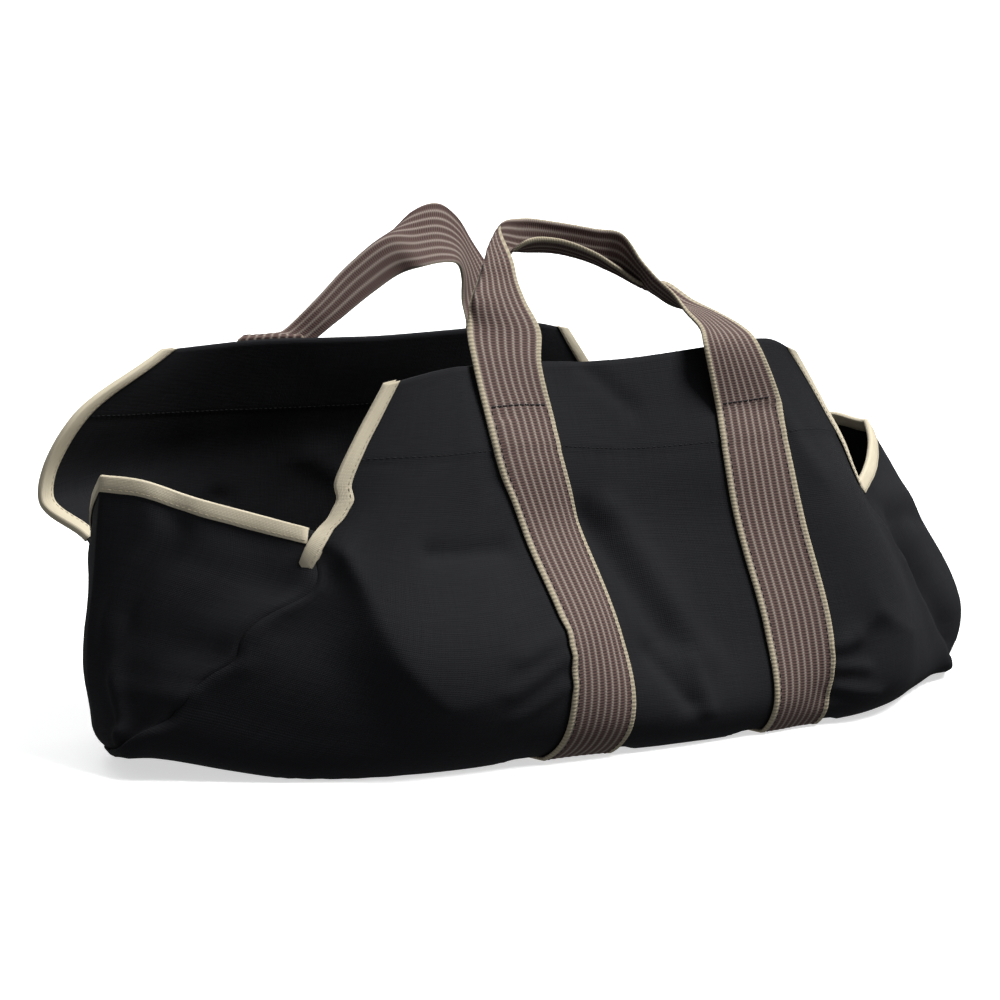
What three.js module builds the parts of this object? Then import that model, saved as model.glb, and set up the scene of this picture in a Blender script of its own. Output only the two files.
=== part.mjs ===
// Log carrier: a canvas sling bag with open notched ends, two end panels, bound edges and
// two webbing straps that run under the bag and make its handles.
// Millimetres, +Z up, +X to the right end, -Y to the front, floor at z = 0.
import * as THREE from 'three';

// Driving sizes
const canvasThickness = 1.5;
const hemThickness = 2.6;
const pieceGap = 0.35;
const strapWidth = 44;
const strapThickness = 2;
const strapGap = 0.6;
const bindingDepth = 8.5;
const bindingThickness = 1;
const bindingGap = 0.7;
const seamSetback = 2.2;
const seamRoom = 1.2;
const liftMargin = 10;
const liftReach = 23;
const columnsPerStation = 5;
const rowsPerCourse = 3;
const endColumns = 12;
const handleSamples = 40;
// Rows of the panel by which each strap leaves the wall below the top edge
const freeRows = { front: 2, back: 0 };

// Courses of the main panel, from the front top edge down, under the bag and up to the back
// top edge. Each gives the middle of the cloth at seven stations along the bag: x, y, z.
const courses = [
  { name: 'front top', left: [-155, -105, 205], leftQuarter: [-114, -106, 211],
    leftStrap: [-76, -106, 212], middle: [0, -106, 210], rightStrap: [87, -106, 215],
    rightQuarter: [112, -106, 216], right: [134, -105, 208] },
  { name: 'front hem', left: [-180, -103, 165], leftQuarter: [-126, -122, 165],
    leftStrap: [-77, -127, 167], middle: [3, -119, 160], rightStrap: [82, -128, 161],
    rightQuarter: [125, -130, 163], right: [174, -100, 156] },
  { name: 'front notch', left: [-194, -97, 130], leftQuarter: [-146, -130, 124],
    leftStrap: [-66, -134, 126], middle: [9, -126, 120], rightStrap: [85, -138, 118],
    rightQuarter: [142, -148, 120], right: [195, -95, 125] },
  { name: 'front belly', left: [-228, -90, 86], leftQuarter: [-158, -150, 62],
    leftStrap: [-54, -157, 64], middle: [20, -146, 60], rightStrap: [93, -152, 60],
    rightQuarter: [164, -157, 64], right: [236, -90, 75] },
  { name: 'front low', left: [-255, -70, 48], leftQuarter: [-170, -134, 22],
    leftStrap: [-50, -152, 20], middle: [24, -157, 18], rightStrap: [96, -153, 18],
    rightQuarter: [170, -156, 20], right: [262, -86, 42] },
  { name: 'front foot', left: [-275, -41, 20], leftQuarter: [-185, -104, 0],
    leftStrap: [-50, -122, 0], middle: [24, -138, 0], rightStrap: [97, -134, 0],
    rightQuarter: [170, -130, 0], right: [287, -80, 12] },
  { name: 'bottom', left: [-262, 0, 10], leftQuarter: [-178, 0, 0],
    leftStrap: [-52, 0, 0], middle: [21, 0, 0], rightStrap: [97, 0, 0],
    rightQuarter: [175, 0, 0], right: [332, -12, 6] },
  { name: 'back foot', left: [-232, 45, 14], leftQuarter: [-170, 98, 0],
    leftStrap: [-55, 118, 0], middle: [18, 122, 0], rightStrap: [93, 118, 0],
    rightQuarter: [170, 108, 0], right: [285, 70, 12] },
  { name: 'back low', left: [-226, 62, 38], leftQuarter: [-165, 126, 22],
    leftStrap: [-58, 148, 22], middle: [16, 152, 21], rightStrap: [91, 148, 22],
    rightQuarter: [168, 130, 22], right: [262, 76, 40] },
  { name: 'back belly', left: [-216, 84, 70], leftQuarter: [-155, 140, 65],
    leftStrap: [-62, 158, 62], middle: [14, 160, 60], rightStrap: [90, 156, 60],
    rightQuarter: [160, 135, 65], right: [240, 82, 72] },
  { name: 'back notch', left: [-206, 105, 105], leftQuarter: [-145, 138, 112],
    leftStrap: [-68, 150, 112], middle: [10, 151, 112], rightStrap: [88, 147, 112],
    rightQuarter: [150, 128, 116], right: [208, 90, 120] },
  { name: 'back upper', left: [-222, 130, 127], leftQuarter: [-140, 138, 141],
    leftStrap: [-72, 142, 140], middle: [8, 142, 139], rightStrap: [87, 139, 140],
    rightQuarter: [140, 122, 142], right: [196, 98, 140] },
  { name: 'back hem', left: [-206, 122, 172], leftQuarter: [-130, 126, 170],
    leftStrap: [-76, 128, 168], middle: [5, 128, 166], rightStrap: [86, 126, 168],
    rightQuarter: [128, 117, 168], right: [172, 102, 164] },
  { name: 'back top', left: [-152, 112, 209], leftQuarter: [-115, 107, 211],
    leftStrap: [-80, 106, 212], middle: [2, 105, 210], rightStrap: [84, 106, 213],
    rightQuarter: [112, 106, 213], right: [138, 105, 208] },
];
const stations = ['left', 'leftQuarter', 'leftStrap', 'middle', 'rightStrap', 'rightQuarter', 'right'];

// Middle line of each end panel, from its top edge down to the floor: x, y, z and how
// sharply the cloth is creased there (0 round, 1 a fold).
const endCreases = {
  left: [
    { at: [-262, 0, 154], sharp: 0.9 },
    { at: [-266, 2, 100], sharp: 0.55 },
    { at: [-272, 2, 48], sharp: 0.25 },
    { at: [-262, 0, 10], sharp: 0.1 },
  ],
  right: [
    { at: [283, -8, 149], sharp: 0.9 },
    { at: [322, -16, 90], sharp: 0.5 },
    { at: [345, -20, 44], sharp: 0.25 },
    { at: [332, -12, 6], sharp: 0.1 },
  ],
};

// Handle loops above the top edges, from the left leg to the right leg: the strap's inner
// edge, the line that it folds along and its outer edge, as x, y, z.
const frontHandle = [
  { inner: [-59, -116, 212], fold: [-79, -113, 212], outer: [-100, -110, 213] },
  { inner: [-54, -109, 229], fold: [-76, -105, 230], outer: [-98, -102, 232] },
  { inner: [-54, -99, 244], fold: [-76, -100, 246], outer: [-98, -103, 246] },
  { inner: [-56, -88, 265], fold: [-79, -91, 265], outer: [-65, -76, 260] },
  { inner: [-52, -72, 284], fold: [-69, -84, 273], outer: [-54, -74, 263] },
  { inner: [-31, -64, 286], fold: [-38, -73, 270], outer: [-48, -90, 277] },
  { inner: [-3, -62, 283], fold: [-8, -67, 268], outer: [-22, -83, 277] },
  { inner: [22, -66, 278], fold: [16, -68, 261], outer: [5, -81, 268] },
  { inner: [34, -72, 275], fold: [35, -62, 255], outer: [25, -75, 259] },
  { inner: [39, -82, 262], fold: [45, -69, 248], outer: [60, -57, 252] },
  { inner: [42, -92, 253], fold: [50, -78, 244], outer: [71, -67, 248] },
  { inner: [46, -101, 245], fold: [58, -86, 237], outer: [80, -80, 238] },
  { inner: [49, -109, 235], fold: [67, -98, 233], outer: [88, -92, 231] },
  { inner: [51, -119, 226], fold: [71, -111, 225], outer: [92, -108, 224] },
  { inner: [49, -124, 218], fold: [69, -122, 218], outer: [91, -121, 217] },
];
const backHandle = [
  { inner: [-49, 115, 208], fold: [-65, 116, 216], outer: [-52, 132, 210] },
  { inner: [-31, 113, 219], fold: [-46, 114, 231], outer: [-32, 129, 226] },
  { inner: [-5, 111, 236], fold: [-20, 113, 253], outer: [-5, 127, 248] },
  { inner: [14, 108, 247], fold: [5, 111, 268], outer: [19, 126, 268] },
  { inner: [23, 99, 251], fold: [25, 111, 268], outer: [36, 122, 284] },
  { inner: [38, 98, 253], fold: [43, 110, 269], outer: [49, 120, 287] },
  { inner: [52, 102, 251], fold: [61, 115, 263], outer: [70, 128, 278] },
  { inner: [59, 107, 242], fold: [73, 119, 251], outer: [85, 132, 262] },
  { inner: [61, 110, 228], fold: [80, 117, 232], outer: [100, 123, 236] },
];

// Soft folds pressed into the main panel. Each runs from one place to another, given in
// station and course numbers, and stands out by its height over a width in those numbers.
const folds = [
  { name: 'notch ridge', from: [0.2, 2.12], to: [1.15, 3.4], height: 6, width: 0.2 },
  { name: 'beside left strap', from: [2.45, 2.2], to: [2.4, 2.9], height: -5, width: 0.3 },
  { name: 'beside right strap', from: [4.3, 3.9], to: [4.7, 3.2], height: -4, width: 0.2 },
];

const courseIndex = (name) => courses.findIndex((course) => course.name === name);
const courseRow = (name) => courseIndex(name) * rowsPerCourse;
const lastColumn = (stations.length - 1) * columnsPerStation;
const lastRow = (courses.length - 1) * rowsPerCourse;
const strapColumns = {
  left: stations.indexOf('leftStrap') * columnsPerStation,
  right: stations.indexOf('rightStrap') * columnsPerStation,
};
const strapLift = strapThickness + 2 * strapGap;

const vector = (values) => new THREE.Vector3(values[0], values[1], values[2]);
const mix = (from, to, share) => from.clone().lerp(to, share);
const clamp = THREE.MathUtils.clamp;

function smoothCurve(points) {
  return new THREE.CatmullRomCurve3(points, false, 'centripetal');
}

// Height of a fold at a place on the panel: full along its line, fading to the sides and ends
function foldHeight(fold, station, course) {
  const run = [fold.to[0] - fold.from[0], fold.to[1] - fold.from[1]];
  const reach = [station - fold.from[0], course - fold.from[1]];
  const lengthSquared = run[0] ** 2 + run[1] ** 2;
  const along = clamp((run[0] * reach[0] + run[1] * reach[1]) / lengthSquared, 0, 1);
  const aside = Math.hypot(reach[0] - along * run[0], (reach[1] - along * run[1]) * 0.6);
  return fold.height * Math.exp(-((aside / fold.width) ** 2));
}

// Cloth lies on the floor, and over a strap where one passes under it
function restOnFloor(point) {
  let lift = 0;
  for (const column of ['leftStrap', 'rightStrap']) {
    const strapX = courses[courseIndex('bottom')][column][0];
    const away = Math.abs(point.x - strapX) - strapWidth / 2;
    lift = Math.max(lift, strapLift * (1 - THREE.MathUtils.smoothstep(away, liftMargin, liftReach)));
  }
  point.z = Math.max(point.z, canvasThickness / 2 + lift);
}

function panelMiddle() {
  const rails = courses.map((course) => smoothCurve(stations.map((name) => vector(course[name]))));
  const grid = Array.from({ length: lastRow + 1 }, () => []);
  for (let column = 0; column <= lastColumn; column += 1) {
    const strip = smoothCurve(rails.map((rail) => rail.getPoint(column / lastColumn)));
    for (let row = 0; row <= lastRow; row += 1) {
      grid[row].push(strip.getPoint(row / lastRow));
    }
  }
  const normals = gridNormals(grid);
  grid.forEach((line, row) => line.forEach((point, column) => {
    const station = column / columnsPerStation;
    const course = row / rowsPerCourse;
    for (const fold of folds) {
      point.addScaledVector(normals[row][column], foldHeight(fold, station, course));
    }
    restOnFloor(point);
  }));
  return grid;
}

// Normal at every point of a grid of rows and columns, from its neighbours
function gridNormals(grid) {
  const rowEnd = grid.length - 1;
  const columnEnd = grid[0].length - 1;
  return grid.map((line, row) => line.map((point, column) => {
    const along = grid[Math.min(row + 1, rowEnd)][column].clone();
    along.sub(grid[Math.max(row - 1, 0)][column]);
    const across = line[Math.min(column + 1, columnEnd)].clone();
    across.sub(line[Math.max(column - 1, 0)]);
    return along.cross(across).normalize();
  }));
}

function offsetGrid(grid, normals, distance) {
  return grid.map((line, row) => line.map((point, column) => (
    point.clone().addScaledVector(normals[row][column], distance(row)))));
}

// Closed mesh from points and triangles, turned to face outward
function closedGeometry(points, triangles) {
  let volume = 0;
  for (const [a, b, c] of triangles) {
    volume += points[a].dot(points[b].clone().cross(points[c]));
  }
  const ordered = volume < 0 ? triangles.map(([a, b, c]) => [a, c, b]) : triangles;
  const geometry = new THREE.BufferGeometry();
  const positions = points.flatMap((point) => point.toArray());
  geometry.setAttribute('position', new THREE.Float32BufferAttribute(positions, 3));
  geometry.setIndex(ordered.flat());
  geometry.computeVertexNormals();
  return geometry;
}

// Sheet of cloth between two grids: both faces and the rim round them
function sheetGeometry(outer, inner) {
  const rows = outer.length;
  const columns = outer[0].length;
  const points = [...outer.flat(), ...inner.flat()];
  const below = rows * columns;
  const at = (row, column) => row * columns + column;
  const triangles = [];
  for (let row = 0; row < rows - 1; row += 1) {
    for (let column = 0; column < columns - 1; column += 1) {
      const corners = [at(row, column), at(row, column + 1),
        at(row + 1, column + 1), at(row + 1, column)];
      const [a, b, c, d] = corners;
      const falling = points[a].distanceTo(points[c]) < points[b].distanceTo(points[d]);
      const pair = falling ? [[a, b, c], [a, c, d]] : [[a, b, d], [b, c, d]];
      for (const [p, q, r] of pair) {
        triangles.push([p, q, r], [p + below, r + below, q + below]);
      }
    }
  }
  const rim = [];
  for (let column = 0; column < columns - 1; column += 1) {
    rim.push(at(0, column));
  }
  for (let row = 0; row < rows - 1; row += 1) {
    rim.push(at(row, columns - 1));
  }
  for (let column = columns - 1; column > 0; column -= 1) {
    rim.push(at(rows - 1, column));
  }
  for (let row = rows - 1; row > 0; row -= 1) {
    rim.push(at(row, 0));
  }
  rim.forEach((point, index) => {
    const next = rim[(index + 1) % rim.length];
    triangles.push([point, next + below, next], [point, point + below, next + below]);
  });
  return closedGeometry(points, triangles);
}

// Tube through rings of points, closed with a fan over the first and last ring
function ringGeometry(rings, capTriangles) {
  const size = rings[0].length;
  const points = rings.flat();
  const triangles = [];
  for (let ring = 0; ring < rings.length - 1; ring += 1) {
    for (let corner = 0; corner < size; corner += 1) {
      const a = ring * size + corner;
      const b = ring * size + ((corner + 1) % size);
      triangles.push([a, b, b + size], [a, b + size, a + size]);
    }
  }
  const last = (rings.length - 1) * size;
  for (const [a, b, c] of capTriangles) {
    triangles.push([a, c, b], [a + last, b + last, c + last]);
  }
  return closedGeometry(points, triangles);
}

const hemRow = (row) => row < courseRow('front hem') || row > courseRow('back hem');
const panelThickness = (row) => (hemRow(row) ? hemThickness : canvasThickness);
const panel = panelMiddle();
const panelNormals = gridNormals(panel);

function mainPanelGeometry() {
  const outer = offsetGrid(panel, panelNormals, (row) => panelThickness(row) / 2);
  const inner = offsetGrid(panel, panelNormals, (row) => -panelThickness(row) / 2);
  return sheetGeometry(outer, inner);
}

// Point on the outside of the main panel, so far along a row from one of its columns
function besideColumn(row, column, distance) {
  const step = Math.sign(distance);
  let left = Math.abs(distance);
  let here = column;
  const line = panel[row];
  while (left > line[here].distanceTo(line[here + step])) {
    left -= line[here].distanceTo(line[here + step]);
    here += step;
  }
  const next = step === 0 ? here : here + step;
  const share = step === 0 ? 0 : left / line[here].distanceTo(line[next]);
  const normal = mix(panelNormals[row][here], panelNormals[row][next], share).normalize();
  const away = panelThickness(row) / 2 + strapGap + strapThickness / 2;
  return mix(line[here], line[next], share).addScaledVector(normal, away);
}

const strapSpread = [1, 0.5, 0, -0.5, -1];

// One row of the strap on the wall, from its inner edge to its outer edge
function strapRow(row, side) {
  const inward = side === 'left' ? 1 : -1;
  return strapSpread.map((share) => (
    besideColumn(row, strapColumns[side], (share * inward * strapWidth) / 2)));
}

// Rows of one leg from the middle of the bottom up to where it leaves the wall
function strapLeg(side, facing) {
  const bottom = courseRow('bottom');
  const top = facing === 'front' ? freeRows.front : lastRow - freeRows.back;
  const step = Math.sign(top - bottom);
  const rows = [];
  for (let row = bottom; row !== top + step; row += step) {
    rows.push(strapRow(row, side));
  }
  rows[0] = rows[0].map((point, index) => {
    const run = rows[1][index].clone().sub(point).normalize();
    return point.clone().addScaledVector(run, pieceGap);
  });
  return rows;
}

// Rows of the handle loop between the two legs
function handleRows(table, leftLeg, rightLeg) {
  const path = (edge, place) => smoothCurve([
    leftLeg.at(-2)[place], leftLeg.at(-1)[place], ...table.map((row) => vector(row[edge])),
    rightLeg.at(-1)[place], rightLeg.at(-2)[place]]);
  const paths = [path('inner', 0), path('fold', 2), path('outer', 4)];
  const spans = table.length + 3;
  const rows = [];
  for (let sample = 1; sample < handleSamples; sample += 1) {
    const share = (1 + (sample / handleSamples) * (spans - 2)) / spans;
    const [inner, fold, outer] = paths.map((curve) => curve.getPoint(share));
    rows.push([inner, mix(inner, fold, 0.5), fold, mix(fold, outer, 0.5), outer]);
  }
  return rows;
}

function strapGeometry(table, facing) {
  const leftLeg = strapLeg('left', facing);
  const rightLeg = strapLeg('right', facing);
  const loop = handleRows(table, leftLeg, rightLeg);
  const middle = [...leftLeg, ...loop, ...rightLeg.reverse()];
  const normals = gridNormals(middle);
  const outer = offsetGrid(middle, normals, () => strapThickness / 2);
  const inner = offsetGrid(middle, normals, () => -strapThickness / 2);
  return sheetGeometry(outer, inner);
}

// Seam of an end panel on the main panel: set back from its edge and inside its face
function seamPoint(row, column) {
  const inward = column === 0 ? 1 : -1;
  const edge = panel[row][column];
  const away = panel[row][column + inward].clone().sub(edge).normalize();
  const inside = canvasThickness / 2 + pieceGap + seamRoom;
  const seam = edge.clone().addScaledVector(away, seamSetback);
  return seam.addScaledVector(panelNormals[row][column], -inside);
}

// Middle of an end panel: rows from its top edge down, columns from the front seam to the back
function endMiddle(side) {
  const column = side === 'left' ? 0 : lastColumn;
  const creases = endCreases[side];
  const creaseLine = smoothCurve(creases.map((row) => vector(row.at)));
  const top = courseRow('front notch');
  const foot = courseRow('front foot');
  const rowCount = foot - top;
  const bottomSeam = [];
  for (let row = foot; row <= courseRow('back foot'); row += 1) {
    bottomSeam.push(seamPoint(row, column));
  }
  const grid = [];
  for (let down = 0; down <= rowCount; down += 1) {
    const depth = down / rowCount;
    const front = seamPoint(top + down, column);
    const back = seamPoint(courseRow('back notch') - down, column);
    const crease = creaseLine.getPoint(depth);
    const place = depth * (creases.length - 1);
    const lower = Math.min(Math.floor(place), creases.length - 2);
    const sharp = THREE.MathUtils.lerp(creases[lower].sharp, creases[lower + 1].sharp, place - lower);
    const bend = crease.clone().multiplyScalar(2).sub(mix(front, back, 0.5));
    const round = new THREE.QuadraticBezierCurve3(front, bend, back);
    const line = [];
    for (let step = 0; step <= endColumns; step += 1) {
      const across = step / endColumns;
      const half = across < 0.5 ? mix(front, crease, across * 2) : mix(crease, back, across * 2 - 1);
      const above = mix(round.getPoint(across), half, sharp);
      const seamPlace = across * (bottomSeam.length - 1);
      const seamStep = Math.min(Math.floor(seamPlace), bottomSeam.length - 2);
      const onSeam = mix(bottomSeam[seamStep], bottomSeam[seamStep + 1], seamPlace - seamStep);
      line.push(mix(above, onSeam, depth ** 6));
    }
    grid.push(line);
  }
  return grid;
}

function endPanelGeometry(middle) {
  const normals = gridNormals(middle);
  const outer = offsetGrid(middle, normals, () => canvasThickness / 2);
  const inner = offsetGrid(middle, normals, () => -canvasThickness / 2);
  return sheetGeometry(outer, inner);
}

// Folded tape over an edge. Each stop on the edge has a place, a way into the cloth, a normal
// and the thickness of the cloth that it holds.
function bindingGeometry(stops) {
  const rings = stops.map(({ edge, into, normal, thickness }) => {
    const inside = thickness / 2 + bindingGap;
    const outside = inside + bindingThickness;
    const back = -bindingGap - bindingThickness;
    const corners = [
      [bindingDepth, outside], [back, outside], [back, -outside], [bindingDepth, -outside],
      [bindingDepth, -inside], [-bindingGap, -inside], [-bindingGap, inside], [bindingDepth, inside],
    ];
    return corners.map(([deep, over]) => (
      edge.clone().addScaledVector(into, deep).addScaledVector(normal, over)));
  });
  const capTriangles = [[0, 1, 6], [0, 6, 7], [1, 2, 5], [1, 5, 6], [2, 3, 4], [2, 4, 5]];
  return ringGeometry(rings, capTriangles);
}

function stopBetween(from, to, share) {
  return {
    edge: mix(from.edge, to.edge, share),
    into: mix(from.into, to.into, share).normalize(),
    normal: mix(from.normal, to.normal, share).normalize(),
    thickness: Math.max(from.thickness, to.thickness),
  };
}

// Binding of one slanted side edge of the main panel, from its top corner to just above the notch
function sideBinding(side, facing) {
  const column = side === 'left' ? 0 : lastColumn;
  const inward = side === 'left' ? 1 : -1;
  const from = facing === 'front' ? 0 : lastRow;
  const notch = courseRow(`${facing} notch`);
  const step = Math.sign(notch - from);
  const stops = [];
  for (let row = from; row !== notch + step; row += step) {
    const edge = panel[row][column];
    const into = panel[row][column + inward].clone().sub(edge).normalize();
    stops.push({ edge, into, normal: panelNormals[row][column], thickness: hemThickness });
  }
  const last = stops.pop();
  stops.push(stopBetween(stops.at(-1), last, 0.85));
  return bindingGeometry(stops);
}

// Binding of the top edge of an end panel, stopping short of both seams
function endBinding(middle) {
  const normals = gridNormals(middle);
  const stops = middle[0].map((edge, column) => ({
    edge,
    into: middle[1][column].clone().sub(edge).normalize(),
    normal: normals[0][column],
    thickness: canvasThickness,
  }));
  const first = stopBetween(stops[0], stops[1], 0.35);
  const last = stopBetween(stops.at(-1), stops.at(-2), 0.35);
  return bindingGeometry([first, ...stops.slice(1, -1), last]);
}

const colours = { canvas: 0x232428, binding: 0xcdc1a5, webbing: 0x6b5657 };

function piece(name, geometry, slot) {
  const material = new THREE.MeshStandardMaterial({ color: colours[slot], roughness: 0.9 });
  material.name = slot;
  const mesh = new THREE.Mesh(geometry, material);
  mesh.name = name;
  return mesh;
}

const endLeft = endMiddle('left');
const endRight = endMiddle('right');

const group = new THREE.Group();
group.name = 'log_carrier';
group.add(piece('main_panel', mainPanelGeometry(), 'canvas'));
group.add(piece('end_panel_left', endPanelGeometry(endLeft), 'canvas'));
group.add(piece('end_panel_right', endPanelGeometry(endRight), 'canvas'));
group.add(piece('edge_binding_front_left', sideBinding('left', 'front'), 'binding'));
group.add(piece('edge_binding_front_right', sideBinding('right', 'front'), 'binding'));
group.add(piece('edge_binding_back_left', sideBinding('left', 'back'), 'binding'));
group.add(piece('edge_binding_back_right', sideBinding('right', 'back'), 'binding'));
group.add(piece('end_binding_left', endBinding(endLeft), 'binding'));
group.add(piece('end_binding_right', endBinding(endRight), 'binding'));
group.add(piece('strap_front', strapGeometry(frontHandle, 'front'), 'webbing'));
group.add(piece('strap_back', strapGeometry(backHandle, 'back'), 'webbing'));

export default group;
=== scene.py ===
"""Looks of the log carrier: canvas panels, taped edges, webbing straps and their stitching.

Sizes are in millimetres, as in the solids, and become metres when a mesh is made.
"""
import math

import bmesh
import bpy
import numpy as np
from mathutils import Matrix, Vector, noise

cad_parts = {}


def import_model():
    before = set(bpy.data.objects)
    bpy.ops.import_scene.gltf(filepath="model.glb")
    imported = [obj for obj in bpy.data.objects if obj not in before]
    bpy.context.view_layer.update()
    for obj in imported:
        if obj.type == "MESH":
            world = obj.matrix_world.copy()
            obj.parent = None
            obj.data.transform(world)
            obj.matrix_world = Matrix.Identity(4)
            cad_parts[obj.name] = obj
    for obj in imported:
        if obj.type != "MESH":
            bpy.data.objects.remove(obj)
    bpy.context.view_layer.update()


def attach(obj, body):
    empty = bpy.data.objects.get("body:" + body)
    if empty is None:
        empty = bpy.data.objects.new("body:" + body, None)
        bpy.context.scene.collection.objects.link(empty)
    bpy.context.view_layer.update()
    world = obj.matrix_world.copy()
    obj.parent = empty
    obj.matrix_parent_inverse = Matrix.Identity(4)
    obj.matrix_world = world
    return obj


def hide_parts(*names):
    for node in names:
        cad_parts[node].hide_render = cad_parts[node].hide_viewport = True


MM = 0.001

# Sizes that the solids share
CANVAS_THICKNESS = 1.5
HEM_THICKNESS = 2.6
PIECE_GAP = 0.35
STRAP_WIDTH = 44
STRAP_THICKNESS = 2
STRAP_GAP = 0.6
SEAM_SETBACK = 2.2
LIFT_MARGIN = 10
LIFT_REACH = 23

# Room between the cloths at an end seam, wider than in the solids for the rolls beside it
SEAM_ROOM = 1.6

# Tape: narrower and thinner than in the solids, and closer to its cloth
TAPE_DEPTH = 7.8
TAPE_THICKNESS = 0.8
TAPE_GAP = 0.2
TAPE_TURN = 1.3
TAPE_PAST_TOP = 1.4
TAPE_BEVEL = {"deep": 0.3, "over": 0.1}
TAPE_PUCKER = {"share": 0.05, "size": 14}

# Columns by which the tape of an end panel stops short of each seam
END_TAPE_SHORT = 2.1

# Free end of the front left tape, folded flat over the end tape: how far it reaches back and
# down from the notch, how far it lies off the end panel, half its thickness, how far it arches
# on the way and how far its end slants forward for each millimetre down
LAP = {"back": 10, "down": 17, "off": 8.5, "half": 1.1, "arch": 3.4, "slant": 0.75}

# Webbing: corded edges, ribs and the valleys between them. Its back shows a narrower part of
# the pattern, without the cords.
WEB_COLUMNS = 45
WEB_EDGE = 3.1
WEB_BACK = 0.87
WEB_RIB_PITCH = 4.73
WEB_GROUND = 1.6
WEB_RIB = 0.4
WEB_RIB_HALF = 0.9
WEB_CORD = 2.5
WEB_RIM = 0.8

# Fineness of the cloth
COLUMNS_PER_STATION = 27
ROWS_PER_COURSE = 18
COARSE_ROWS = 3
END_COLUMNS = 72
HANDLE_SAMPLES = 240

# How far the rim of each cloth is rounded out
EDGE_ROLL = {"sling": 0.6, "end": 0.5, "strap": 0.25}

# Handles: passes that soften a fold, how far an even fold is rounded, and how fast this fades
# as the fold moves off the middle
HANDLE_SOFTENING = 6
HANDLE_ROUND = {"share": 0.45, "fade": 6}

# Coarse rows of the panel by which each strap leaves the wall below the top edge
FREE_ROWS = {"front": 2, "back": 0}

# Courses of the main panel, from the front top edge down, under the bag and up to the back
# top edge. Each gives the middle of the cloth at seven stations along the bag: x, y, z.
STATIONS = ["left", "left_quarter", "left_strap", "middle", "right_strap", "right_quarter", "right"]
COURSES = {
    "front top": [(-155, -105, 205), (-114, -106, 211), (-76, -106, 212), (0, -106, 210),
                  (87, -106, 215), (112, -106, 216), (134, -105, 208)],
    "front hem": [(-180, -103, 165), (-126, -122, 165), (-77, -127, 167), (3, -119, 160),
                  (82, -128, 161), (125, -130, 163), (174, -100, 156)],
    "front notch": [(-194, -97, 130), (-146, -130, 124), (-66, -134, 126), (9, -126, 120),
                    (85, -138, 118), (142, -148, 120), (195, -95, 125)],
    "front belly": [(-228, -90, 86), (-158, -150, 62), (-54, -157, 64), (20, -146, 60),
                    (93, -152, 60), (164, -157, 64), (236, -90, 75)],
    "front low": [(-255, -70, 48), (-170, -134, 22), (-50, -152, 20), (24, -157, 18),
                  (96, -153, 18), (170, -156, 20), (262, -86, 42)],
    "front foot": [(-275, -41, 20), (-185, -104, 0), (-50, -122, 0), (24, -138, 0),
                   (97, -134, 0), (170, -130, 0), (287, -80, 12)],
    "bottom": [(-262, 0, 10), (-178, 0, 0), (-52, 0, 0), (21, 0, 0),
               (97, 0, 0), (175, 0, 0), (332, -12, 6)],
    "back foot": [(-232, 45, 14), (-170, 98, 0), (-55, 118, 0), (18, 122, 0),
                  (93, 118, 0), (170, 108, 0), (285, 70, 12)],
    "back low": [(-226, 62, 38), (-165, 126, 22), (-58, 148, 22), (16, 152, 21),
                 (91, 148, 22), (168, 130, 22), (262, 76, 40)],
    "back belly": [(-216, 84, 70), (-155, 140, 65), (-62, 158, 62), (14, 160, 60),
                   (90, 156, 60), (160, 135, 65), (240, 82, 72)],
    "back notch": [(-206, 105, 105), (-145, 138, 112), (-68, 150, 112), (10, 151, 112),
                   (88, 147, 112), (150, 128, 116), (208, 90, 120)],
    "back upper": [(-222, 130, 127), (-140, 138, 141), (-72, 142, 140), (8, 142, 139),
                   (87, 139, 140), (140, 122, 142), (196, 98, 140)],
    "back hem": [(-206, 122, 172), (-130, 126, 170), (-76, 128, 168), (5, 128, 166),
                 (86, 126, 168), (128, 117, 168), (172, 102, 164)],
    "back top": [(-152, 112, 209), (-115, 107, 211), (-80, 106, 212), (2, 105, 210),
                 (84, 106, 213), (112, 106, 213), (138, 105, 208)],
}

# Middle line of each end panel, from its top edge down to the floor: x, y, z and how
# sharply the cloth is creased there (0 round, 1 a fold).
END_CREASES = {
    "left": [((-262, 0, 154), 0.8), ((-266, 2, 100), 0.55), ((-272, 2, 48), 0.25), ((-262, 0, 10), 0.1)],
    "right": [((283, -8, 149), 0.65), ((322, -16, 90), 0.5), ((345, -20, 44), 0.25), ((332, -12, 6), 0.1)],
}

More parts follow.
